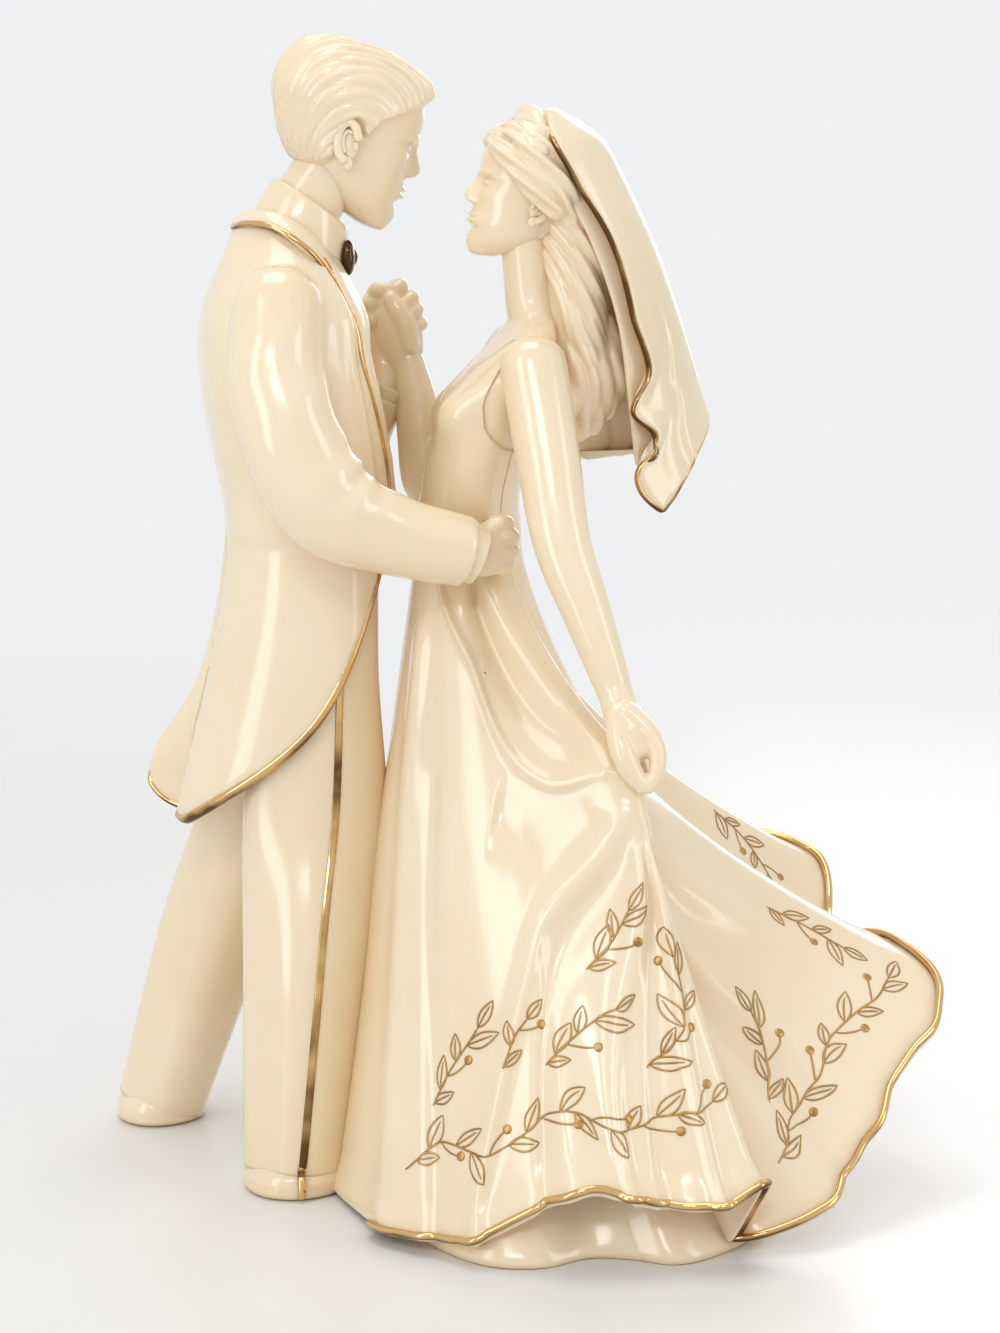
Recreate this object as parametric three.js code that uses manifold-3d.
// A porcelain wedding cake topper: a groom and a bride dancing.
// The castings stand on the table at z = 0. +Z is up and +X runs from the groom to the bride.
// The near side of the couple is -Y. All lengths are in millimetres.
import * as THREE from 'three';
import { mergeVertices } from 'three/addons/utils/BufferGeometryUtils.js';
import Module from 'manifold-3d';

const wasm = await Module();
wasm.setup();

// Driving sizes shared by all castings
const seam = 0.3;
const overrun = 1.5;
const goldWidth = 1.3;
const goldThickness = 0.6;
const stripeWidth = 1.7;

// Driving sizes of the groom
const groomHeight = 208;
const groomYaw = THREE.MathUtils.degToRad(11);
const coatHalfDepth = 16.8;
const coatHalfBreadth = 21.5;
const tailThickness = 2.4;
const tailReach = 28;
const sleeveRadius = 8.6;
const cuffRadius = 6.3;
const trouserRadius = 14.8;
const strideLength = 22;
const strideBreadth = 7;
const stanceBreadth = 37;
const shoeLength = 17.5;
const shoeHeight = 7;
const groomHeadHeight = 31;
const groomNeckRadius = 7;
const shirtCollarHeight = 11;
const shirtCollarWall = 1.5;
const coatCollarHeight = 6.5;
const coatCollarWall = 2.2;
const bowWidth = 11;
const bowHeight = 6.2;
const bowDepth = 3.4;

// Driving sizes of the bride
const brideHeight = 192;
const waistHeight = 119;
const waistHalfDepth = 9.4;
const waistHalfBreadth = 10.6;
const bodiceHeight = 39;
const brideArmRadius = 6;
const brideWristRadius = 2.9;
const brideHeadHeight = 26;
const brideNeckRadius = 4.4;
const hairLength = 54;
const curlRadius = 3.1;
const veilLength = 54;
const veilThickness = 2;
const ornamentRadius = 2.3;

// Driving sizes of the gown
const gownReach = 60;
const hemLift = 50;
const foldDepth = 4;
const gownWall = 2.5;
const pettiWall = 3;
const footRound = 2.2;
const ventRadius = 5;

// Driving sizes of the hands and of the dance hold
const palmLength = 9.5;
const palmHalfWidth = 4.6;
const palmHalfThickness = 2.5;
const fingerHalfWidth = 1.45;
const coupleDistance = 32.5;
const claspReach = 25;

// Named places that follow the driving sizes
const waist = new THREE.Vector3(-0.178 * gownReach, 0, waistHeight);
const groomStand = new THREE.Vector3(waist.x - coupleDistance, 0.03 * gownReach, 0);
const gripPlace = new THREE.Vector3(0.3 * gownReach, -0.62 * gownReach, 0.68 * waistHeight);
const footCentre = new THREE.Vector3(0.12 * gownReach, -0.32 * gownReach, 0);
const ventPlace = new THREE.Vector3(0.15 * gownReach, -0.4 * gownReach, 0);

const up = new THREE.Vector3(0, 0, 1);
const groomFrame = frameAt(groomStand, groomYaw);
const brideFrame = frameAt(new THREE.Vector3(waist.x, waist.y, 0), Math.PI + THREE.MathUtils.degToRad(6));

// A body frame has its own forward and left directions on the table
function frameAt(origin, yaw) {
  const forward = new THREE.Vector3(Math.cos(yaw), Math.sin(yaw), 0);
  const left = new THREE.Vector3(-Math.sin(yaw), Math.cos(yaw), 0);
  return { origin, forward, left };
}

function inFrame(frame, ahead, sideways, height) {
  return frame.origin.clone()
    .addScaledVector(frame.forward, ahead)
    .addScaledVector(frame.left, sideways)
    .addScaledVector(up, height);
}

// Smooth values between the rows of a table
function cubic(before, start, end, after, t) {
  const slope = end - before;
  const bend = 2 * before - 5 * start + 4 * end - after;
  const twist = 3 * start - before - 3 * end + after;
  return 0.5 * (2 * start + slope * t + bend * t * t + twist * t * t * t);
}

function spline(values, share) {
  const last = values.length - 1;
  const place = Math.min(Math.max(share, 0), 1) * last;
  const index = Math.min(Math.floor(place), last - 1);
  const before = values[Math.max(index - 1, 0)];
  const after = values[Math.min(index + 2, last)];
  return cubic(before, values[index], values[index + 1], after, place - index);
}

function straight(values, share) {
  const place = Math.min(Math.max(share, 0), 1) * (values.length - 1);
  const index = Math.min(Math.floor(place), values.length - 2);
  return THREE.MathUtils.lerp(values[index], values[index + 1], place - index);
}

function loopSpline(values, share) {
  const count = values.length;
  const place = (share - Math.floor(share)) * count;
  const index = Math.floor(place) % count;
  const pick = (step) => values[(index + step + count) % count];
  return cubic(pick(-1), pick(0), pick(1), pick(2), place - Math.floor(place));
}

function column(rows, index) {
  return rows.map((row) => row[index]);
}

function bell(offset, width) {
  return Math.exp(-((offset / width) ** 2));
}

function smooth(start, end, value) {
  const t = Math.min(Math.max((value - start) / (end - start), 0), 1);
  return t * t * (3 - 2 * t);
}

// Closed meshes and booleans
function solidOf(geometry) {
  geometry.deleteAttribute('normal');
  geometry.deleteAttribute('uv');
  const merged = mergeVertices(geometry);
  const places = merged.getAttribute('position').array;
  const faces = merged.getIndex().array;
  return new wasm.Manifold(new wasm.Mesh({
    numProp: 3,
    vertProperties: new Float32Array(places),
    triVerts: new Uint32Array(faces),
  }));
}

function geometryOf(solid) {
  const mesh = solid.getMesh();
  const geometry = new THREE.BufferGeometry();
  geometry.setAttribute('position', new THREE.BufferAttribute(Float32Array.from(mesh.vertProperties), 3));
  geometry.setIndex(Array.from(mesh.triVerts));
  return geometry;
}

function meshSolid(points, faces) {
  let volume = 0;
  for (const [a, b, c] of faces) {
    volume += points[a].dot(points[b].clone().cross(points[c]));
  }
  const facing = volume > 0 ? faces : faces.map(([a, b, c]) => [a, c, b]);
  const geometry = new THREE.BufferGeometry().setFromPoints(points);
  geometry.setIndex(facing.flat());
  return solidOf(geometry);
}

function largest(solid) {
  const pieces = solid.decompose();
  return pieces.reduce((best, piece) => (piece.volume() > best.volume() ? piece : best));
}

function joined(solids) {
  return solids.reduce((sum, solid) => sum.add(solid));
}

// A solid whose skin is moved outwards along its own normals
function grown(solid, amount) {
  const geometry = geometryOf(solid);
  geometry.computeVertexNormals();
  const places = geometry.getAttribute('position');
  const normals = geometry.getAttribute('normal');
  for (let index = 0; index < places.count; index += 1) {
    places.setXYZ(
      index,
      places.getX(index) + amount * normals.getX(index),
      places.getY(index) + amount * normals.getY(index),
      places.getZ(index) + amount * normals.getZ(index),
    );
  }
  return solidOf(geometry);
}

// A loft through rings of equal point counts. The ends are closed by a fan or, on a thin
// folded ring, by a strip between its two sides.
function loft(rings, ends = 'fan') {
  const sides = rings[0].length;
  const points = rings.flat();
  const faces = [];
  for (let row = 0; row < rings.length - 1; row += 1) {
    for (let side = 0; side < sides; side += 1) {
      const a = row * sides + side;
      const b = row * sides + (side + 1) % sides;
      faces.push([a, b, b + sides], [a, b + sides, a + sides]);
    }
  }
  const top = (rings.length - 1) * sides;
  if (ends === 'fan') {
    const first = points.push(centroid(rings[0])) - 1;
    const last = points.push(centroid(rings[rings.length - 1])) - 1;
    for (let side = 0; side < sides; side += 1) {
      const next = (side + 1) % sides;
      faces.push([first, next, side], [last, top + side, top + next]);
    }
  } else {
    for (let side = 0; side < sides / 2 - 1; side += 1) {
      const across = sides - 1 - side;
      faces.push([side, across, side + 1], [across, across - 1, side + 1]);
      faces.push([top + side, top + side + 1, top + across]);
      faces.push([top + across, top + side + 1, top + across - 1]);
    }
  }
  return meshSolid(points, faces);
}

function centroid(ring) {
  const sum = ring.reduce((total, point) => total.add(point), new THREE.Vector3());
  return sum.divideScalar(ring.length);
}

function ringOf(surface, v, sides) {
  return Array.from({ length: sides }, (_, side) => surface(side / sides, v));
}

function ringsOf(surface, sides, rows) {
  return Array.from({ length: rows + 1 }, (_, row) => ringOf(surface, row / rows, sides));
}

function normalAt(surface, u, v) {
  const step = 0.004;
  const alongU = surface(u + step, v).sub(surface(u - step, v));
  const low = Math.max(v - step, 0);
  const high = Math.min(v + step, 1);
  const alongV = surface(u, high).sub(surface(u, low));
  return alongU.cross(alongV).normalize();
}

// A thick sheet over an open surface, from its outer face inwards
function sheet(surface, thickness, columns, rows, facing = 1) {
  const rings = [];
  for (let row = 0; row <= rows; row += 1) {
    const outer = [];
    const inner = [];
    for (let index = 0; index <= columns; index += 1) {
      const u = index / columns;
      const point = surface(u, row / rows);
      outer.push(point);
      inner.unshift(point.clone().addScaledVector(normalAt(surface, u, row / rows), -facing * thickness));
    }
    rings.push([...outer, ...inner]);
  }
  return loft(rings, 'strip');
}

// A surface around a path. The across direction sets where u = 0 lies.
function limbSurface(stations, across, ripple = () => 1) {
  const path = new THREE.CatmullRomCurve3(stations.map((station) => station.at));
  const wides = stations.map((station) => station.wide);
  const deeps = stations.map((station) => station.deep);
  return (u, v) => {
    const centre = path.getPoint(v);
    const along = path.getTangent(v);
    const first = across.clone().addScaledVector(along, -across.dot(along)).normalize();
    const second = along.clone().cross(first);
    const angle = 2 * Math.PI * u;
    const size = ripple(u, v);
    return centre
      .addScaledVector(first, spline(wides, v) * size * Math.cos(angle))
      .addScaledVector(second, spline(deeps, v) * size * Math.sin(angle));
  };
}

// A limb whose ends are round unless they are named as flat
function limb(stations, across, sides, rows, flat = [], ripple = undefined) {
  const surface = limbSurface(stations, across, ripple);
  const rings = ringsOf(surface, sides, rows);
  const first = stations[0];
  const last = stations[stations.length - 1];
  const path = new THREE.CatmullRomCurve3(stations.map((station) => station.at));
  const start = domeRing(rings[0], path.getTangent(0).negate(), Math.min(first.wide, first.deep));
  const end = domeRing(rings[rings.length - 1], path.getTangent(1), Math.min(last.wide, last.deep));
  return loft([
    ...(flat.includes('start') ? [] : [start]),
    ...rings,
    ...(flat.includes('end') ? [] : [end]),
  ]);
}

function domeRing(ring, outwards, reach) {
  const centre = centroid(ring);
  const angle = Math.PI / 3.4;
  return ring.map((point) => point.clone()
    .sub(centre)
    .multiplyScalar(Math.cos(angle))
    .add(centre)
    .addScaledVector(outwards, reach * Math.sin(angle)));
}

function station(at, wide, deep = wide) {
  return { at, wide, deep };
}

function egg(centre, ahead, sideways, height, radiusAhead, radiusSideways, radiusHeight, sides = 10, rows = 6) {
  const rings = [];
  for (let row = 1; row < rows; row += 1) {
    const angle = Math.PI * (row / rows - 0.5);
    rings.push(Array.from({ length: sides }, (_, side) => {
      const turn = 2 * Math.PI * side / sides;
      return centre.clone()
        .addScaledVector(ahead, radiusAhead * Math.cos(angle) * Math.cos(turn))
        .addScaledVector(sideways, radiusSideways * Math.cos(angle) * Math.sin(turn))
        .addScaledVector(height, radiusHeight * Math.sin(angle));
    }));
  }
  return loft(rings);
}

// A gold line. Each place has the direction across the line and the skin's normal.
function goldBand(places, width, thickness, sides = 5) {
  const rings = places.map(({ at, across, normal }) => Array.from({ length: sides }, (_, side) => {
    const angle = 2 * Math.PI * side / sides;
    return at.clone()
      .addScaledVector(across, width / 2 * Math.cos(angle))
      .addScaledVector(normal, thickness / 2 * Math.sin(angle));
  }));
  return [loft(rings)];
}

// A gold line that lies on a surface along a route of u and v values
function goldOnSurface(surface, route, steps, width, facing = 1) {
  const us = column(route, 0);
  const vs = column(route, 1);
  const places = [];
  for (let step = 0; step <= steps; step += 1) {
    const share = step / steps;
    const u = spline(us, share);
    const v = spline(vs, share);
    const normal = normalAt(surface, u, v).multiplyScalar(facing);
    const at = surface(u, v).addScaledVector(normal, seam + goldThickness / 2);
    places.push({ at, normal });
  }
  places.forEach((place, index) => {
    const next = places[Math.min(index + 1, steps)].at;
    const previous = places[Math.max(index - 1, 0)].at;
    place.across = next.clone().sub(previous).cross(place.normal).normalize();
  });
  return goldBand(places, width, goldThickness);
}

// A gold lip that rides outside the border of a sheet along a route of u and v values
function goldLip(surface, thickness, route, steps, facing = 1) {
  const us = column(route, 0);
  const vs = column(route, 1);
  const border = (share) => surface(straight(us, share), straight(vs, share));
  const places = [];
  for (let step = 0; step <= steps; step += 1) {
    const share = step / steps;
    const u = straight(us, share);
    const v = straight(vs, share);
    const normal = normalAt(surface, u, v).multiplyScalar(facing);
    const edge = surface(u, v);
    const along = border(share + 0.01).sub(border(share - 0.01)).normalize();
    const outwards = along.cross(normal).normalize();
    const inner = surface(THREE.MathUtils.lerp(u, 0.5, 0.1), THREE.MathUtils.lerp(v, 0.5, 0.1));
    if (outwards.dot(edge.clone().sub(inner)) < 0) {
      outwards.negate();
    }
    const at = edge.addScaledVector(normal, -thickness / 2)
      .addScaledVector(outwards, seam + goldWidth / 2);
    places.push({ at, across: outwards, normal });
  }
  return goldBand(places, goldWidth, thickness);
}

// The skirt: a table of hem places with the bow of the cloth above each, in shares
const hemShares = [
  [-0.6, -0.31, 0.018, 1],
  [-0.48, -0.63, 0.036, 1],
  [-0.33, -0.88, 0.06, 1.05],
  [-0.17, -1.02, 0.09, 1.1],
  [0, -1.05, 0.21, 1.1],
  [0.15, -1.07, 0.32, 1.15],
  [0.36, -1.1, 0.27, 1.15],
  [0.56, -1.02, 0.31, 1.2],
  [0.63, -1.01, 0.1, 1.2],
  [0.92, -0.8, 0.22, 1.35],
  [1.04, -0.61, 0.47, 1.5],
  [1.21, -0.33, 0.71, 2],
  [1.1, -0.07, 0.85, 2.4],
  [0.92, 0.1, 0.82, 2.5],
  [0.96, 0.45, 0.78, 2.1],
  [0.92, 0.67, 0.97, 1.9],
  [0.67, 0.75, 1, 1.8],
  [0.33, 0.67, 0.56, 1.3],
  [-0.03, 0.52, 0.16, 1.1],
  [-0.37, 0.27, 0.03, 1],
  [-0.57, -0.03, 0.018, 1],
];

// Folds of the skirt: place round the hem, width, depth and where the fold starts
const foldShares = [
  [0.07, 0.03, 0.35, 0.45],
  [0.14, 0.035, -0.5, 0.35],
  [0.225, 0.02, 0.45, 0.35],
  [0.285, 0.014, -0.5, 0.42],
  [0.36, 0.016, -0.6, 0.35],
  [0.45, 0.03, -0.4, 0.5],
  [0.54, 0.022, 0.3, 0.5],
  [0.615, 0.02, -1, 0.35],
  [0.7, 0.03, 0.4, 0.4],
  [0.78, 0.025, -0.6, 0.3],
  [0.86, 0.03, 0.5, 0.3],
  [0.93, 0.025, -0.5, 0.3],
];
const gripShare = 0.325;
const gripRow = 0.36;
const gripWidth = 0.06;

function hemPlace(u) {
  return new THREE.Vector3(
    gownReach * loopSpline(column(hemShares, 0), u),
    gownReach * loopSpline(column(hemShares, 1), u),
    hemLift * loopSpline(column(hemShares, 2), u),
  );
}

function plainSkirt(u, v) {
  const hem = hemPlace(u);
  const bow = loopSpline(column(hemShares, 3), u);
  const angle = Math.atan2(hem.y - footCentre.y, hem.x - footCentre.x);
  const top = waist.clone();
  top.x += waistHalfDepth * Math.cos(angle);
  top.y += waistHalfBreadth * Math.sin(angle);
  const flare = v ** bow;
  return new THREE.Vector3(
    THREE.MathUtils.lerp(top.x, hem.x, flare),
    THREE.MathUtils.lerp(top.y, hem.y, flare),
    THREE.MathUtils.lerp(top.z, hem.z, v),
  );
}

const gripPull = gripPlace.clone().sub(plainSkirt(gripShare, gripRow));

function skirtSurface(u, v) {
  const point = plainSkirt(u, v);
  const outwards = new THREE.Vector3(point.x - waist.x, point.y - waist.y, 0).normalize();
  for (const [place, width, depthShare, start] of foldShares) {
    const gap = u - place - Math.round(u - place);
    point.addScaledVector(outwards, foldDepth * depthShare * bell(gap, width) * smooth(start, 1, v));
  }
  const rise = v < gripRow ? (v / gripRow) ** 2.4 : (1 - v) / (1 - gripRow);
  const width = gripWidth * (v < gripRow ? 1 : 1 - 0.4 * (v - gripRow));
  return point.addScaledVector(gripPull, rise * bell(u - gripShare, width));
}

function gownSkirt() {
  const sides = 50;
  const outer = ringsOf(skirtSurface, sides, 9);
  const inner = [];
  for (const v of [1, 0.8, 0.56, 0.34, 0.14]) {
    inner.push(ringOf(skirtSurface, v, sides).map((point, side) => point
      .addScaledVector(normalAt(skirtSurface, side / sides, v), -skirtFacing * gownWall)));
  }
  return [loft([...outer, ...inner])];
}

const skirtFacing = facingOf(skirtSurface, waist);

// Whether a surface's normals point away from a place inside it
function facingOf(surface, inside) {
  const point = surface(0, 0.5);
  return Math.sign(normalAt(surface, 0, 0.5).dot(point.sub(inside).setZ(0)));
}

// The petticoat: a hollow base with a flat foot and a vent hole
const footShares = [
  [-0.505, -0.36],
  [-0.4, -0.6],
  [-0.25, -0.84],
  [-0.08, -1.01],
  [0.1, -1.04],
  [0.22, -0.98],
  [0.34, -0.98],
  [0.49, -1],
  [0.6, -0.88],
  [0.7, -0.7],
  [0.78, -0.45],
  [0.75, -0.15],
  [0.62, 0.14],
  [0.4, 0.36],
  [0.08, 0.4],
  [-0.21, 0.24],
  [-0.385, 0.04],
  [-0.485, -0.16],
];
const pettiTopShare = 0.6;
const pettiTopScale = 0.27;

function pettiPoint(u, height, inset) {
  const foot = new THREE.Vector3(
    gownReach * loopSpline(column(footShares, 0), u),
    gownReach * loopSpline(column(footShares, 1), u),
    0,
  );
  const rise = height / (pettiTopShare * waistHeight);
  const middle = footCentre.clone().lerp(waist.clone().setZ(0), rise);
  const reach = foot.sub(footCentre);
  const length = reach.length() * THREE.MathUtils.lerp(1, pettiTopScale, rise ** 1.1) - inset;
  return middle.addScaledVector(reach.normalize(), length).setZ(height);
}

function pettiRings(heights, insets) {
  const sides = 26;
  return heights.map((height, row) => Array.from(
    { length: sides },
    (_, side) => pettiPoint(side / sides, height, insets[row]),
  ));
}

function gownBase() {
  const top = pettiTopShare * waistHeight;
  const heights = [0, 0.35 * footRound, footRound, 0.2 * top, 0.5 * top, 0.8 * top, top];
  const insets = [footRound, 0.3 * footRound, 0, 0, 0, 0, 0];
  const outside = loft(pettiRings(heights, insets));
  const innerHeights = [pettiWall, 0.2 * top, 0.5 * top, top - pettiWall];
  const inside = loft(pettiRings(innerHeights, innerHeights.map(() => pettiWall)));
  const vent = new THREE.CylinderGeometry(ventRadius, ventRadius, 2 * pettiWall + overrun, 20);
  vent.rotateX(Math.PI / 2).translate(ventPlace.x, ventPlace.y, 0);
  return { adds: [outside], cuts: [inside, solidOf(vent)] };
}

// The coat body: height, centre, half depth and half breadth, in shares
const coatShares = [
  [0.567, 0.2, 0.93, 0.75],
  [0.6, 0.18, 0.94, 0.76],
  [0.64, 0.1, 0.96, 0.83],
  [0.6875, -0.01, 0.95, 0.93],
  [0.726, -0.08, 0.91, 0.99],
  [0.76, -0.08, 0.88, 0.99],
  [0.79, -0.02, 0.82, 0.84],
  [0.81, 0.02, 0.68, 0.62],
  [0.828, 0.05, 0.5, 0.42],
];
const torsoSquareness = 2.5;

function squared(value) {
  return Math.sign(value) * Math.abs(value) ** (2 / torsoSquareness);
}

function coatSurface(u, v) {
  const angle = 2 * Math.PI * u;
  const ahead = coatHalfDepth * (spline(column(coatShares, 1), v)
    + spline(column(coatShares, 2), v) * squared(Math.cos(angle)));
  const sideways = coatHalfBreadth * spline(column(coatShares, 3), v) * squared(Math.sin(angle));
  return inFrame(groomFrame, ahead, sideways, groomHeight * spline(column(coatShares, 0), v));
}

// The edge of the coat front, as shares round and up the body, from the lapel notch down
const lapelRoute = [[0.885, 0.88], [0.897, 0.72], [0.905, 0.5], [0.912, 0.3], [0.915, 0.12], [0.9, 0.03]];

function lapel(side) {
  const places = [[0.935, 0.9], [0.94, 0.7], [0.95, 0.45], [0.96, 0.2]];
  const widths = [0.5, 1, 0.8, 0.35];
  const stations = places.map(([u, v], index) => station(
    coatSurface(side < 0 ? u : 1 - u, v),
    widths[index] * 0.16 * coatHalfBreadth,
    0.05 * coatHalfDepth,
  ));
  return limb(stations, groomFrame.left, 5, 4);
}

function tailcoat() {
  const body = loft(ringsOf(coatSurface, 18, 8));
  return [body, lapel(1), lapel(-1)];
}

// The coat tails: height of the hem against the angle from the front, in shares
const tailTopShare = 0.57;
const tailAngleShares = [0.21, 0.3, 0.37, 0.46, 0.56, 0.68, 0.8, 0.92, 0.985];
const tailHemShares = [0.56, 0.511, 0.478, 0.438, 0.401, 0.366, 0.338, 0.319, 0.32];
const nearBackShares = [-0.44, -0.475, -0.55, -0.66, -0.76];
const farBackShares = [-0.44, -0.48, -0.56, -0.7, -0.82];

function tailSurface(side, backShares, wing) {
  const bottom = tailHemShares[7] * groomHeight;
  const top = tailTopShare * groomHeight;
  return (u, v) => {
    const angle = Math.PI * spline(tailAngleShares, u);
    const hem = groomHeight * (spline(tailHemShares, u) + 0.05 * wing * bell(u - 0.75, 0.14));
    const height = THREE.MathUtils.lerp(top, hem, v);
    const fall = (top - height) / (top - bottom);
    const centre = 0.2 * coatHalfDepth;
    const front = 0.93 * coatHalfDepth;
    const spur = 1 + wing * fall * bell(angle / Math.PI - 0.84, 0.13);
    const back = centre - tailReach * spline(backShares, fall) * spur;
    const depth = THREE.MathUtils.lerp(front, back, smooth(0, 1, (angle / Math.PI - 0.25) / 0.55));
    const breadth = coatHalfBreadth * THREE.MathUtils.lerp(0.76, 0.9, fall);
    return inFrame(
      groomFrame,
      centre + depth * Math.cos(angle),
      side * breadth * Math.sin(angle) ** 0.9,
      height,
    );
  };
}

const nearTail = tailSurface(-1, nearBackShares, 0);
const farTail = tailSurface(1, farBackShares, 0.34);

function coatTail(surface, side) {
  return [sheet(surface, tailThickness, 12, 5, side)];
}

// The trouser legs stand inside the tails and taper to their hems
const farLegShare = 0.9;

function trouserPlaces(side) {
  const hip = groomHeight * 0.56;
  const back = side > 0 ? strideLength : 0;
  const out = side > 0 ? strideBreadth : 0;
  const slim = side > 0 ? farLegShare : 1;
  const legStation = (ahead, sideways, step, level, wide, deep) => station(
    inFrame(
      groomFrame,
      ahead * trouserRadius - back * step,
      sideways * stanceBreadth / 2 + out * step,
      level * hip,
    ),
    wide * trouserRadius * slim,
    deep * trouserRadius * slim,
  );
  return [
    legStation(0.2, side * 0.42, 0, 1, 0.78, 0.41),
    legStation(0.16, side * 0.46, 0.05, 0.8, 0.8, 0.46),
    legStation(0.14, side * 0.52, 0.3, 0.56, 0.9, 0.5),
    legStation(0, side * 0.84, 0.6, 0.34, 0.8, 0.66),
    legStation(-0.2, side * 1.08, 0.93, 0.03, 0.64, 0.6),
  ];
}

function trouserLeg(side) {
  return [limb(trouserPlaces(side), groomFrame.forward, 12, 7, ['start', 'end'])];
}

function shoe(side) {
  const places = trouserPlaces(side);
  const ankle = places[places.length - 1].at;
  const middle = new THREE.Vector3(ankle.x, ankle.y, 0);
  const reach = shoeLength / 2;
  const push = side > 0 ? -0.02 : 0.08;
  const outline = (u, inset) => {
    const angle = 2 * Math.PI * u;
    const narrow = 1 - 0.14 * Math.cos(angle);
    return middle.clone()
      .addScaledVector(groomFrame.forward, push * shoeLength + (reach - inset) * Math.cos(angle))
      .addScaledVector(groomFrame.left, (0.48 * shoeLength - inset) * narrow * Math.sin(angle));
  };
  const levels = [[0, 0.14], [0.16, 0], [0.5, 0.02], [0.8, 0.2], [0.97, 0.6], [1, 0.9]];
  return [loft(levels.map(([level, inset]) => Array.from({ length: 12 }, (_, index) => outline(
    index / 12,
    inset * shoeHeight,
  ).setZ(level * shoeHeight))))];
}

// Heads: height, centre, half depth and half breadth, in shares of the head's height
const skullShares = [
  [0, 0.24, 0.05, 0.06],
  [0.015, 0.225, 0.1, 0.1],
  [0.06, 0.17, 0.175, 0.155],
  [0.13, 0.115, 0.24, 0.205],
  [0.22, 0.065, 0.295, 0.245],
  [0.32, 0.025, 0.34, 0.27],
  [0.42, -0.005, 0.375, 0.285],
  [0.52, -0.03, 0.4, 0.3],
  [0.62, -0.04, 0.425, 0.315],
  [0.72, -0.05, 0.43, 0.318],
  [0.82, -0.055, 0.405, 0.3],
  [0.9, -0.06, 0.34, 0.25],
  [0.96, -0.06, 0.235, 0.175],
  [0.995, -0.06, 0.08, 0.06],
];

function headSurface(place, height, axes, hairShare) {
  return (u, v) => {
    const angle = 2 * Math.PI * u - 0.62 * Math.sin(2 * Math.PI * u);
    const level = spline(column(skullShares, 0), v);
    const front = bell(angle > Math.PI ? angle - 2 * Math.PI : angle, 0.17);
    const socket = bell(Math.abs(angle > Math.PI ? angle - 2 * Math.PI : angle) - 0.42, 0.2);
    const nose = 0.1 * front * smooth(0.56, 0.375, level) * smooth(0.325, 0.36, level);
    const lips = 0.022 * bell(Math.sin(angle / 2), 0.16) * (bell(level - 0.245, 0.022) + bell(level - 0.205, 0.022));
    const eyes = -0.03 * socket * bell(level - 0.5, 0.07);
    const hairLine = 0.36 + 0.5 * smooth(-0.1, 0.95, Math.cos(angle));
    const hair = hairShare * smooth(hairLine - 0.03, hairLine + 0.04, level);
    const combed = 0.12 * hair * Math.cos(14 * angle + 5 * level);
    const swell = 1 + hair + combed;
    const ahead = spline(column(skullShares, 1), v)
      + spline(column(skullShares, 2), v) * Math.cos(angle) * swell + nose + lips + eyes;
    const sideways = spline(column(skullShares, 3), v) * Math.sin(angle) * swell;
    return place.clone()
      .addScaledVector(axes.ahead, height * ahead)
      .addScaledVector(axes.side, height * sideways)
      .addScaledVector(axes.top, height * (level + 0.2 * hair * smooth(0.8, 1, level)));
  };
}

function headAxes(frame, nod) {
  const ahead = frame.forward.clone().multiplyScalar(Math.cos(nod)).addScaledVector(up, -Math.sin(nod));
  const top = up.clone().multiplyScalar(Math.cos(nod)).addScaledVector(frame.forward, Math.sin(nod));
  return { ahead, top, side: frame.left };
}

function ear(place, height, axes, side) {
  const centre = place.clone()
    .addScaledVector(axes.ahead, -0.03 * height)
    .addScaledVector(axes.side, side * 0.3 * height)
    .addScaledVector(axes.top, 0.44 * height);
  const lean = axes.side.clone().multiplyScalar(side).addScaledVector(axes.ahead, -0.5).normalize();
  const flat = axes.ahead.clone().addScaledVector(lean, -axes.ahead.dot(lean)).normalize();
  return egg(centre, flat, lean, axes.top, 0.065 * height, 0.035 * height, 0.11 * height, 7, 5);
}

const groomAxes = headAxes(groomFrame, THREE.MathUtils.degToRad(18));
const groomChin = inFrame(groomFrame, 0.42 * coatHalfDepth, 0, 0.8455 * groomHeight);

function groomHead() {
  const surface = headSurface(groomChin, groomHeadHeight, groomAxes, 0.1);
  const skull = loft(ringsOf(surface, 18, 13));
  const neckTop = groomChin.clone().addScaledVector(groomAxes.top, 0.32 * groomHeadHeight)
    .addScaledVector(groomAxes.ahead, -0.1 * groomHeadHeight);
  const neckFoot = coatSurface(0, 1).lerp(coatSurface(0.5, 1), 0.5);
  neckFoot.z -= overrun;
  const neck = limb([
    station(neckFoot, 1.1 * groomNeckRadius),
    station(neckFoot.clone().lerp(neckTop, 0.5), groomNeckRadius),
    station(neckTop, 1.05 * groomNeckRadius),
  ], groomFrame.forward, 12, 3, ['start', 'end']);
  return [skull, neck, ...[-1, 1].map((side) => ear(groomChin, groomHeadHeight, groomAxes, side))];
}

// Collars and bow tie
const collarFoot = inFrame(groomFrame, 0, 0, 0.806 * groomHeight);
const collarLean = new THREE.Vector3().addScaledVector(groomFrame.forward, 0.42).add(up).normalize();

function shirtCollar() {
  const top = collarFoot.clone().addScaledVector(collarLean, shirtCollarHeight);
  const radius = 1.1 * groomNeckRadius + shirtCollarWall;
  return [limb([
    station(collarFoot, radius * 1.06),
    station(collarFoot.clone().lerp(top, 0.5), radius),
    station(top, 0.97 * radius),
  ], groomFrame.forward, 14, 2)];
}

function flatLimb(stations, across, sides, rows) {
  return loft(ringsOf(limbSurface(stations, across), sides, rows));
}

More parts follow.
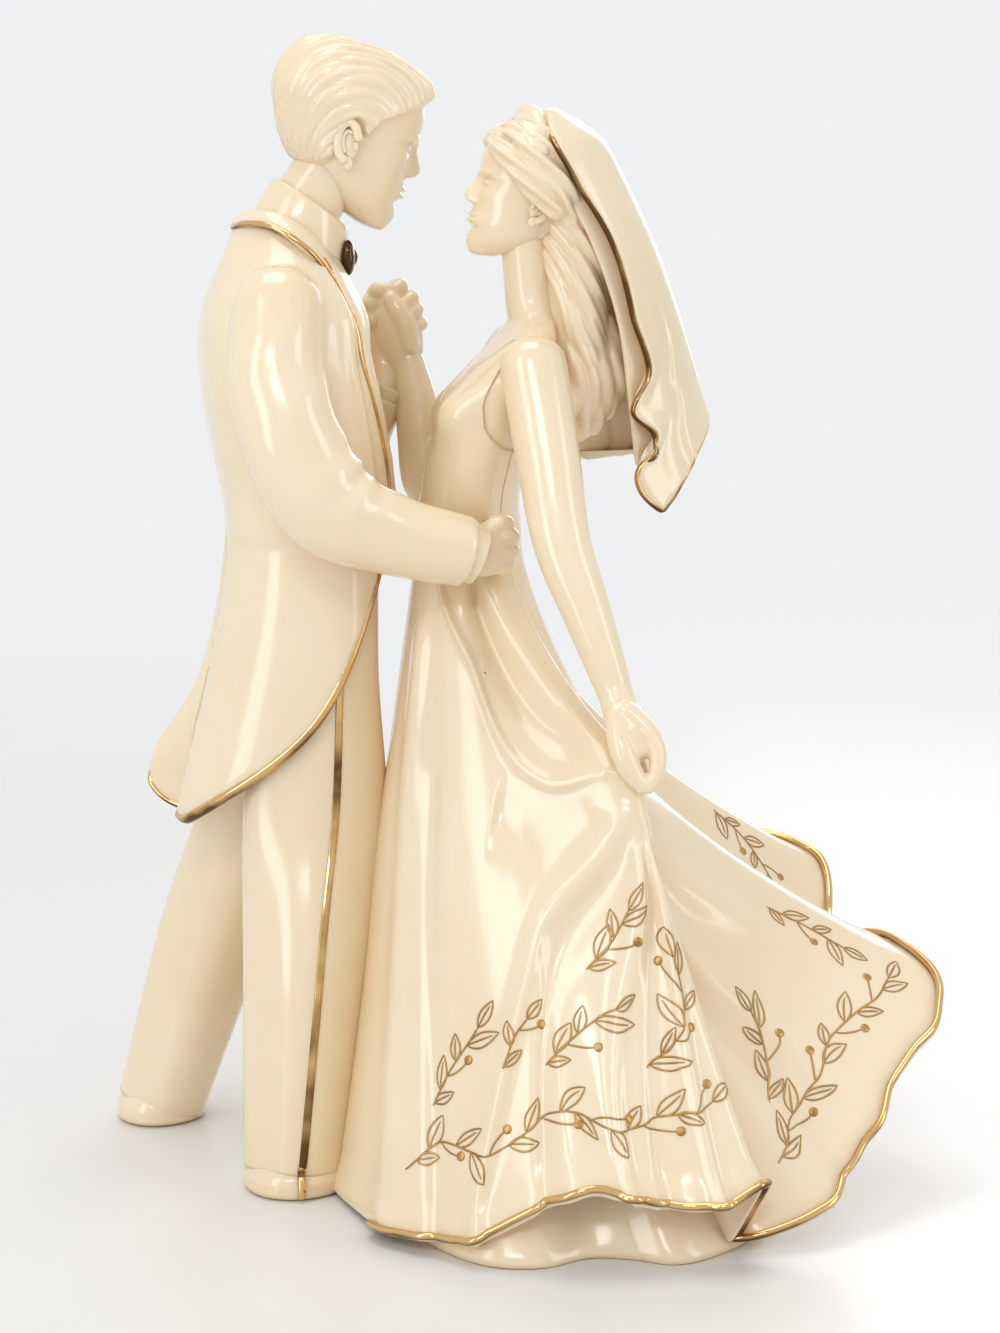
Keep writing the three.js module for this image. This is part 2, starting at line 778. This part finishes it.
function collarTube(radius, low, high) {
  const foot = collarFoot.clone().addScaledVector(collarLean, low);
  const top = collarFoot.clone().addScaledVector(collarLean, high);
  return flatLimb([
    station(foot, 1.06 * radius),
    station(foot.clone().lerp(top, 0.5), radius),
    station(top, 0.95 * radius),
  ], groomFrame.forward, 16, 2);
}

function coatCollar() {
  const radius = 1.1 * groomNeckRadius + shirtCollarWall + coatCollarWall;
  const ring = collarTube(radius, 0, coatCollarHeight);
  const gapHalf = 0.4 * radius;
  const ahead = inFrame(groomFrame, 2 * radius, 0, collarFoot.z);
  const mouth = new THREE.BoxGeometry(3 * radius, 2 * gapHalf, 4 * coatCollarHeight);
  mouth.rotateZ(groomYaw).translate(ahead.x, ahead.y, ahead.z);
  return { adds: [ring], cuts: [solidOf(mouth)] };
}

function bowTie() {
  const radius = 1.1 * groomNeckRadius + shirtCollarWall;
  const centre = collarFoot.clone().addScaledVector(collarLean, 0.2 * shirtCollarHeight)
    .addScaledVector(groomFrame.forward, radius + 0.5 * bowDepth);
  const wings = [-1, 1].map((side) => limb([
    station(centre.clone(), 0.2 * bowHeight, 0.3 * bowDepth),
    station(centre.clone().addScaledVector(groomFrame.left, side * 0.3 * bowWidth), 0.42 * bowHeight, 0.42 * bowDepth),
    station(centre.clone().addScaledVector(groomFrame.left, side * 0.44 * bowWidth), 0.5 * bowHeight, 0.45 * bowDepth),
  ], up, 6, 2));
  const knot = egg(
    centre, groomFrame.forward, groomFrame.left, up,
    0.55 * bowDepth, 0.16 * bowWidth, 0.34 * bowHeight, 6, 4,
  );
  return [...wings, knot];
}

function shirtFront() {
  const levels = [0.92, 0.75, 0.5, 0.25];
  const stations = levels.map((v) => station(coatSurface(0, v), 0.3 * coatHalfBreadth, 0.11 * coatHalfDepth));
  return [limb(stations, groomFrame.left, 6, 4)];
}

// Sleeves and hands of the groom
const elbowWrinkle = (u, v) => 1 + 0.05 * bell(v - 0.55, 0.12) * Math.cos(46 * v) * (0.5 + 0.5 * Math.cos(2 * Math.PI * u));
const nearShoulder = inFrame(groomFrame, -0.27 * coatHalfDepth, -0.84 * coatHalfBreadth, 0.768 * groomHeight);
const nearWrist = waist.clone().add(new THREE.Vector3(-0.18 * waistHalfDepth, -1.75 * waistHalfBreadth, -0.1 * waistHalfBreadth));
const nearElbow = nearShoulder.clone().lerp(nearWrist, 0.4).add(new THREE.Vector3(
  -0.3 * coatHalfDepth,
  -0.36 * coatHalfBreadth,
  -0.075 * groomHeight,
));

function groomRightSleeve() {
  const middle = nearShoulder.clone().lerp(nearElbow, 0.5)
    .add(new THREE.Vector3(-0.2 * coatHalfDepth, -0.1 * coatHalfBreadth, 0));
  const low = nearElbow.clone().lerp(nearWrist, 0.45).add(new THREE.Vector3(0, 0, -0.3 * cuffRadius));
  return [limb([
    station(nearShoulder, 0.95 * sleeveRadius, 0.9 * sleeveRadius),
    station(middle, sleeveRadius, 0.92 * sleeveRadius),
    station(nearElbow, 1.04 * sleeveRadius, 0.9 * sleeveRadius),
    station(low, 0.85 * sleeveRadius, 0.84 * sleeveRadius),
    station(nearWrist, cuffRadius, cuffRadius),
  ], groomFrame.forward, 12, 11, ['end'], elbowWrinkle)];
}

function shirtCuff(elbow, wrist, radius) {
  const along = wrist.clone().sub(elbow).normalize();
  return [limb([
    station(wrist, radius),
    station(wrist.clone().addScaledVector(along, 0.75 * cuffRadius), radius),
  ], up, 10, 1, ['start', 'end'])];
}

// A hand: a palm and four curled fingers with a thumb
function hand(wrist, palmEnd, across, curl, size, thumbSide) {
  const along = palmEnd.clone().sub(wrist).normalize();
  const palm = limb([
    station(wrist, 0.72 * palmHalfWidth * size, palmHalfThickness * size),
    station(wrist.clone().lerp(palmEnd, 0.6), palmHalfWidth * size, palmHalfThickness * size),
    station(palmEnd, palmHalfWidth * size, 0.8 * palmHalfThickness * size),
  ], across, 8, 2);
  const fingers = [-0.75, -0.25, 0.25, 0.75].map((share) => {
    const root = palmEnd.clone().addScaledVector(across, share * palmHalfWidth * size);
    const knuckle = root.clone().addScaledVector(along, 0.3 * palmLength * size)
      .addScaledVector(curl, 0.1 * palmLength * size);
    const tip = knuckle.clone().addScaledVector(curl, (0.5 - 0.08 * Math.abs(share)) * palmLength * size);
    return limb([
      station(root, fingerHalfWidth * size),
      station(knuckle, fingerHalfWidth * size),
      station(tip, 0.85 * fingerHalfWidth * size),
    ], across, 5, 2, ['start']);
  });
  const thumbRoot = wrist.clone().lerp(palmEnd, 0.35).addScaledVector(across, thumbSide * 0.8 * palmHalfWidth * size);
  const thumb = limb([
    station(thumbRoot, 1.2 * fingerHalfWidth * size),
    station(thumbRoot.clone().addScaledVector(along, 0.35 * palmLength * size)
      .addScaledVector(across, thumbSide * 0.2 * palmLength * size), 1.1 * fingerHalfWidth * size),
    station(thumbRoot.clone().addScaledVector(along, 0.7 * palmLength * size)
      .addScaledVector(curl, 0.15 * palmLength * size), 0.9 * fingerHalfWidth * size),
  ], across, 5, 2, ['start']);
  return [palm, ...fingers, thumb];
}

function groomRightHand() {
  const along = nearWrist.clone().sub(nearElbow).normalize();
  const start = nearWrist.clone().addScaledVector(along, 0.4 * cuffRadius);
  const end = waist.clone().add(new THREE.Vector3(0.95 * waistHalfDepth, -0.95 * waistHalfBreadth, -0.1 * waistHalfBreadth));
  return hand(start, end, up.clone().negate(), new THREE.Vector3(-0.2, 1, 0).normalize(), 1.12, -1);
}

const claspPlace = new THREE.Vector3(
  THREE.MathUtils.lerp(groomStand.x, waist.x, 0.55),
  claspReach,
  0.818 * brideHeight,
);
const farShoulder = inFrame(groomFrame, -0.06 * coatHalfDepth, 0.86 * coatHalfBreadth, 0.748 * groomHeight);
const farWrist = claspPlace.clone().add(new THREE.Vector3(-0.25 * palmLength, 0.05 * palmLength, -1.5 * palmLength));
const farElbow = farShoulder.clone().lerp(farWrist, 0.5).add(new THREE.Vector3(
  0,
  0.35 * coatHalfBreadth,
  -0.11 * groomHeight,
));

function groomLeftSleeve() {
  return [limb([
    station(farShoulder, 0.95 * sleeveRadius, 0.9 * sleeveRadius),
    station(farShoulder.clone().lerp(farElbow, 0.5), 0.95 * sleeveRadius),
    station(farElbow, sleeveRadius, 0.86 * sleeveRadius),
    station(farElbow.clone().lerp(farWrist, 0.6), 0.76 * sleeveRadius),
    station(farWrist, 0.86 * cuffRadius),
  ], groomFrame.forward, 10, 8, ['end'])];
}

function groomLeftHand() {
  const start = farWrist.clone().add(new THREE.Vector3(0, 0, 0.3 * cuffRadius));
  const end = claspPlace.clone().add(new THREE.Vector3(-0.3 * palmLength, 0.12 * palmLength, 0));
  const across = new THREE.Vector3(-0.3, -1, 0.2).normalize();
  return hand(start, end, across, new THREE.Vector3(1, -0.15, -0.15).normalize(), 1.05, 1);
}

// The bodice: height, centre, half depth and half breadth, in shares
const bodiceShares = [
  [0, 0, 1, 1],
  [0.14, 0.02, 0.98, 1.02],
  [0.32, -0.1, 1, 1.08],
  [0.5, -0.28, 1.03, 1.18],
  [0.63, -0.5, 0.98, 1.24],
  [0.76, -0.78, 0.82, 1.3],
  [0.87, -1.05, 0.66, 1.32],
  [0.95, -1.18, 0.53, 1.0],
  [1, -1.24, 0.46, 0.56],
];

function bodiceSurface(u, v) {
  const angle = 2 * Math.PI * u;
  const level = spline(column(bodiceShares, 0), v);
  const turn = angle > Math.PI ? angle - 2 * Math.PI : angle;
  const bust = 0.2 * bell(Math.abs(turn) - 0.6, 0.42) * bell(level - 0.5, 0.15);
  const ahead = waistHalfDepth * (spline(column(bodiceShares, 1), v)
    + spline(column(bodiceShares, 2), v) * Math.cos(angle) * (1 + bust));
  const sideways = waistHalfBreadth * spline(column(bodiceShares, 3), v) * Math.sin(angle) * (1 + bust);
  return inFrame(brideFrame, ahead, sideways, waistHeight + seam + bodiceHeight * level);
}

function brideBodice() {
  return [loft(ringsOf(bodiceSurface, 20, 9))];
}

function bodicePlace(ahead, sideways, level) {
  return inFrame(
    brideFrame,
    waistHalfDepth * ahead,
    waistHalfBreadth * sideways,
    waistHeight + bodiceHeight * level,
  );
}

// The bride's arms: her left arm hangs to the skirt, her right arm rises to the clasp
const leftShoulder = bodicePlace(-1.2, 1.35, 0.8);
const leftWrist = gripPlace.clone().add(new THREE.Vector3(-0.25 * palmLength, 0.5 * palmLength, 1.15 * palmLength));

function brideLeftArm() {
  const elbow = leftShoulder.clone().lerp(leftWrist, 0.52)
    .add(new THREE.Vector3(-0.04 * hairLength, -0.02 * hairLength, 0));
  return [limb([
    station(leftShoulder, brideArmRadius, 0.86 * brideArmRadius),
    station(leftShoulder.clone().lerp(elbow, 0.5), 0.95 * brideArmRadius, 0.82 * brideArmRadius),
    station(elbow, 0.74 * brideArmRadius, 0.7 * brideArmRadius),
    station(elbow.clone().lerp(leftWrist, 0.45), 0.66 * brideArmRadius),
    station(leftWrist, brideWristRadius),
  ], brideFrame.forward, 10, 9)];
}

function brideLeftHand() {
  const end = gripPlace.clone().add(new THREE.Vector3(0.12 * palmLength, -0.12 * palmLength, 0.42 * palmLength));
  const across = new THREE.Vector3(0.85, 0.45, 0.1).normalize();
  return hand(leftWrist, end, across, new THREE.Vector3(-0.3, 0.35, -0.9).normalize(), 0.86, -1);
}

const rightShoulder = bodicePlace(-1.1, -1.35, 0.8);
const rightWrist = claspPlace.clone().add(new THREE.Vector3(0.3 * palmLength, 0, -0.95 * palmLength));
const rightElbow = bodicePlace(0.55, -2.2, 0.15);

function brideRightArm() {
  return [limb([
    station(rightShoulder, brideArmRadius, 0.86 * brideArmRadius),
    station(rightShoulder.clone().lerp(rightElbow, 0.5), 0.88 * brideArmRadius, 0.82 * brideArmRadius),
    station(rightElbow, 0.8 * brideArmRadius),
    station(rightElbow.clone().lerp(rightWrist, 0.45), 0.78 * brideArmRadius, 0.7 * brideArmRadius),
    station(rightWrist, brideWristRadius),
  ], brideFrame.forward, 10, 9)];
}

function brideRightHand() {
  const end = claspPlace.clone().add(new THREE.Vector3(0.02 * palmLength, -0.2 * palmLength, 0.1 * palmLength));
  const across = new THREE.Vector3(0.3, -1, 0).normalize();
  return hand(rightWrist, end, across, new THREE.Vector3(-0.6, 0.5, 0.2).normalize(), 0.9, 1);
}

// The bride's head, hair, ornament and veil
const brideNod = THREE.MathUtils.degToRad(-12);
const brideAxes = headAxes(brideFrame, brideNod);
const brideChin = bodicePlace(-0.88, 0, 1.235);

function brideHead() {
  const surface = headSurface(brideChin, brideHeadHeight, brideAxes, 0);
  const skull = loft(ringsOf(surface, 18, 12));
  const neckTop = brideChin.clone().addScaledVector(brideAxes.top, 0.3 * brideHeadHeight)
    .addScaledVector(brideAxes.ahead, -0.1 * brideHeadHeight);
  const neckFoot = bodicePlace(-1.24, 0, 0.97);
  const neck = limb([
    station(neckFoot, 1.35 * brideNeckRadius),
    station(neckFoot.clone().lerp(neckTop, 0.45), brideNeckRadius),
    station(neckTop, 1.1 * brideNeckRadius),
  ], brideFrame.forward, 12, 3, ['start', 'end']);
  return [skull, neck, ...[-1, 1].map((side) => ear(brideChin, brideHeadHeight, brideAxes, side))];
}

const crown = brideChin.clone().addScaledVector(brideAxes.top, 0.7 * brideHeadHeight)
  .addScaledVector(brideAxes.ahead, -0.12 * brideHeadHeight);

function hairPlace(ahead, sideways, drop) {
  return crown.clone()
    .addScaledVector(brideFrame.forward, ahead * brideHeadHeight)
    .addScaledVector(brideFrame.left, sideways * brideHeadHeight)
    .addScaledVector(up, -drop * hairLength);
}

function brideHair() {
  const lean = headAxes(brideFrame, brideNod - THREE.MathUtils.degToRad(30));
  const cap = egg(
    crown.clone().addScaledVector(brideAxes.top, -0.08 * brideHeadHeight),
    lean.ahead, lean.side, lean.top,
    0.43 * brideHeadHeight, 0.345 * brideHeadHeight, 0.38 * brideHeadHeight, 12, 6,
  );
  const wave = (u, v) => 1 + 0.07 * Math.cos(8 * Math.PI * u + 9 * v);
  const fall = limb([
    station(hairPlace(-0.14, 0, 0.02), 0.33 * brideHeadHeight, 0.33 * brideHeadHeight),
    station(hairPlace(-0.26, 0, 0.28), 0.27 * brideHeadHeight, 0.33 * brideHeadHeight),
    station(hairPlace(-0.36, 0, 0.56), 0.27 * brideHeadHeight, 0.34 * brideHeadHeight),
    station(hairPlace(-0.46, 0, 0.78), 0.22 * brideHeadHeight, 0.33 * brideHeadHeight),
    station(hairPlace(-0.46, 0, 0.9), 0.12 * brideHeadHeight, 0.22 * brideHeadHeight),
  ], brideFrame.forward, 12, 6, [], wave);
  const curls = [-1, -0.5, 0.5, 1].map((place, index) => limb([
    station(hairPlace(-0.02, 0.24 * place, 0.28), curlRadius),
    station(hairPlace(-0.16, 0.26 * place, 0.48), curlRadius),
    station(hairPlace(-0.26 + 0.04 * (index % 2), 0.26 * place, 0.68), 1.1 * curlRadius),
    station(hairPlace(-0.4, 0.26 * place, 0.86), 0.9 * curlRadius),
  ], brideFrame.forward, 5, 4));
  return [cap, fall, ...curls];
}

function hairOrnament() {
  const centre = crown.clone().addScaledVector(brideAxes.top, 0.33 * brideHeadHeight)
    .addScaledVector(brideAxes.ahead, 0.2 * brideHeadHeight);
  const loops = [-1.2, -0.4, 0.4, 1.2].map((share) => egg(
    centre.clone().addScaledVector(brideAxes.side, share * ornamentRadius)
      .addScaledVector(brideAxes.top, -0.12 * ornamentRadius * share * share),
    brideAxes.ahead, brideAxes.side, brideAxes.top,
    0.9 * ornamentRadius, 0.75 * ornamentRadius, ornamentRadius, 6, 4,
  ));
  return loops;
}

// The veil: drop, reach of its ridge, half depth and half breadth, in shares
const veilShares = [
  [-0.03, 0.02, 0.06, 0.06],
  [-0.01, 0.1, 0.2, 0.2],
  [0.07, 0.34, 0.42, 0.42],
  [0.2, 0.5, 0.48, 0.48],
  [0.4, 0.7, 0.46, 0.5],
  [0.6, 0.86, 0.46, 0.5],
  [0.8, 0.99, 0.56, 0.5],
  [1, 1.12, 0.66, 0.5],
];

const veilTurnShare = 0.42;

function veilSurface(u, v) {
  const level = spline(column(veilShares, 0), v);
  const side = Math.abs(2 * u - 1);
  const ripple = 1 + 0.14 * side * smooth(0.5, 0.62, v) * Math.cos(20 * v);
  const turn = THREE.MathUtils.lerp(-veilTurnShare, veilTurnShare, u) * Math.PI * ripple;
  const fold = 1 + 0.07 * smooth(0.3, 1, v) * Math.cos(9 * Math.PI * u);
  const depth = spline(column(veilShares, 2), v) * fold;
  const breadth = spline(column(veilShares, 3), v) * fold;
  const drop = level + 0.3 * smooth(0.5, 1, v) * side ** 1.5;
  const start = crown.clone().addScaledVector(up, 0.34 * brideHeadHeight);
  return start
    .addScaledVector(brideFrame.forward, brideHeadHeight * (depth * (1 - Math.cos(turn)) - spline(column(veilShares, 1), v)))
    .addScaledVector(brideFrame.left, brideHeadHeight * breadth * Math.sin(turn))
    .addScaledVector(up, -veilLength * drop);
}

const veilFacing = -facingOf((u, v) => veilSurface(u + 0.5, v), crown);

function veil() {
  return [sheet(veilSurface, veilThickness, 14, 8, -veilFacing)];
}

// Gilding
const nearStripe = limbSurface(trouserPlaces(-1), groomFrame.forward);
const farStripe = limbSurface(trouserPlaces(1), groomFrame.forward);
const stripeRoute = [[0.19, 0.2], [0.212, 0.45], [0.235, 0.7], [0.255, 0.985]];
const farStripeRoute = stripeRoute.map(([u, v]) => [1 - u, v]);
const tailBorder = [[0, 1], [1, 1]];
const veilBorder = [[1, 0.125], [1, 1], [0, 1]];
const hemBorder = [[0.06, 1], [0.72, 1]];

function build() {
  const parts = [
    ['gown_skirt', gownSkirt(), 'ivory'],
    ['gown_base', gownBase(), 'ivory'],
    ['bride_bodice', brideBodice(), 'ivory'],
    ['bride_head', brideHead(), 'ivory'],
    ['veil', veil(), 'ivory'],
    ['bride_hair', brideHair(), 'ivory'],
    ['bride_left_arm', brideLeftArm(), 'ivory'],
    ['bride_right_arm', brideRightArm(), 'ivory'],
    ['bride_left_hand', brideLeftHand(), 'ivory'],
    ['bride_right_hand', brideRightHand(), 'ivory'],
    ['hair_ornament', hairOrnament(), 'ivory'],
    ['bow_tie', bowTie(), 'darkGold'],
    ['tailcoat', tailcoat(), 'ivory'],
    ['near_coat_tail', coatTail(nearTail, 1), 'ivory'],
    ['far_coat_tail', coatTail(farTail, -1), 'ivory'],
    ['near_tail_gilding', goldLip(nearTail, tailThickness, tailBorder, 12, 1), 'gold'],
    ['far_tail_gilding', goldLip(farTail, tailThickness, tailBorder, 12, -1), 'gold'],
    ['near_trouser_leg', trouserLeg(-1), 'ivory'],
    ['far_trouser_leg', trouserLeg(1), 'ivory'],
    ['near_shoe', shoe(-1), 'ivory'],
    ['far_shoe', shoe(1), 'ivory'],
    ['groom_head', groomHead(), 'ivory'],
    ['shirt_collar', shirtCollar(), 'ivory'],
    ['shirt_front', shirtFront(), 'ivory'],
    ['coat_collar', coatCollar(), 'ivory'],
    ['groom_right_sleeve', groomRightSleeve(), 'ivory'],
    ['groom_left_sleeve', groomLeftSleeve(), 'ivory'],
    ['right_shirt_cuff', shirtCuff(nearElbow, nearWrist, 0.86 * cuffRadius), 'ivory'],
    ['left_shirt_cuff', shirtCuff(farElbow, farWrist, 0.76 * cuffRadius), 'ivory'],
    ['groom_right_hand', groomRightHand(), 'ivory'],
    ['groom_left_hand', groomLeftHand(), 'ivory'],
    ['lapel_gilding', goldOnSurface(coatSurface, lapelRoute, 16, goldWidth, 1), 'gold'],
    ['near_trouser_stripe', goldOnSurface(nearStripe, stripeRoute, 10, stripeWidth, 1), 'gold'],
    ['far_trouser_stripe', goldOnSurface(farStripe, farStripeRoute, 10, stripeWidth, 1), 'gold'],
    ['veil_gilding', goldLip(veilSurface, veilThickness, veilBorder, 28, -veilFacing), 'gold'],
    ['gown_hem_gilding', goldLip(skirtSurface, gownWall, hemBorder, 33, skirtFacing), 'gold'],
  ];
  return parts;
}

const finishes = {
  ivory: { color: 0xf3e3c3, roughness: 0.08, metalness: 0 },
  gold: { color: 0xb98a45, roughness: 0.12, metalness: 1 },
  darkGold: { color: 0x5a3d1c, roughness: 0.1, metalness: 1 },
};

// Each casting is cut back by the ones before it, so that a seam stays between them
function assemble() {
  const group = new THREE.Group();
  const placed = [];
  for (const [name, made, finish] of build()) {
    const { adds, cuts } = Array.isArray(made) ? { adds: made, cuts: [] } : made;
    let solid = cuts.reduce((rest, cut) => rest.subtract(cut), joined(adds));
    const box = solid.boundingBox();
    for (const earlier of placed) {
      if (boxesMeet(box, earlier.box)) {
        solid = solid.subtract(earlier.grown);
      }
    }
    solid = largest(solid);
    placed.push({ box, grown: joined(adds.map((add) => grown(add, seam))) });
    const mesh = new THREE.Mesh(geometryOf(solid), new THREE.MeshStandardMaterial(finishes[finish]));
    mesh.name = name;
    group.add(mesh);
  }
  return group;
}

function boxesMeet(a, b) {
  return [0, 1, 2].every((axis) => a.min[axis] <= b.max[axis] + seam && b.min[axis] <= a.max[axis] + seam);
}

export default assemble();
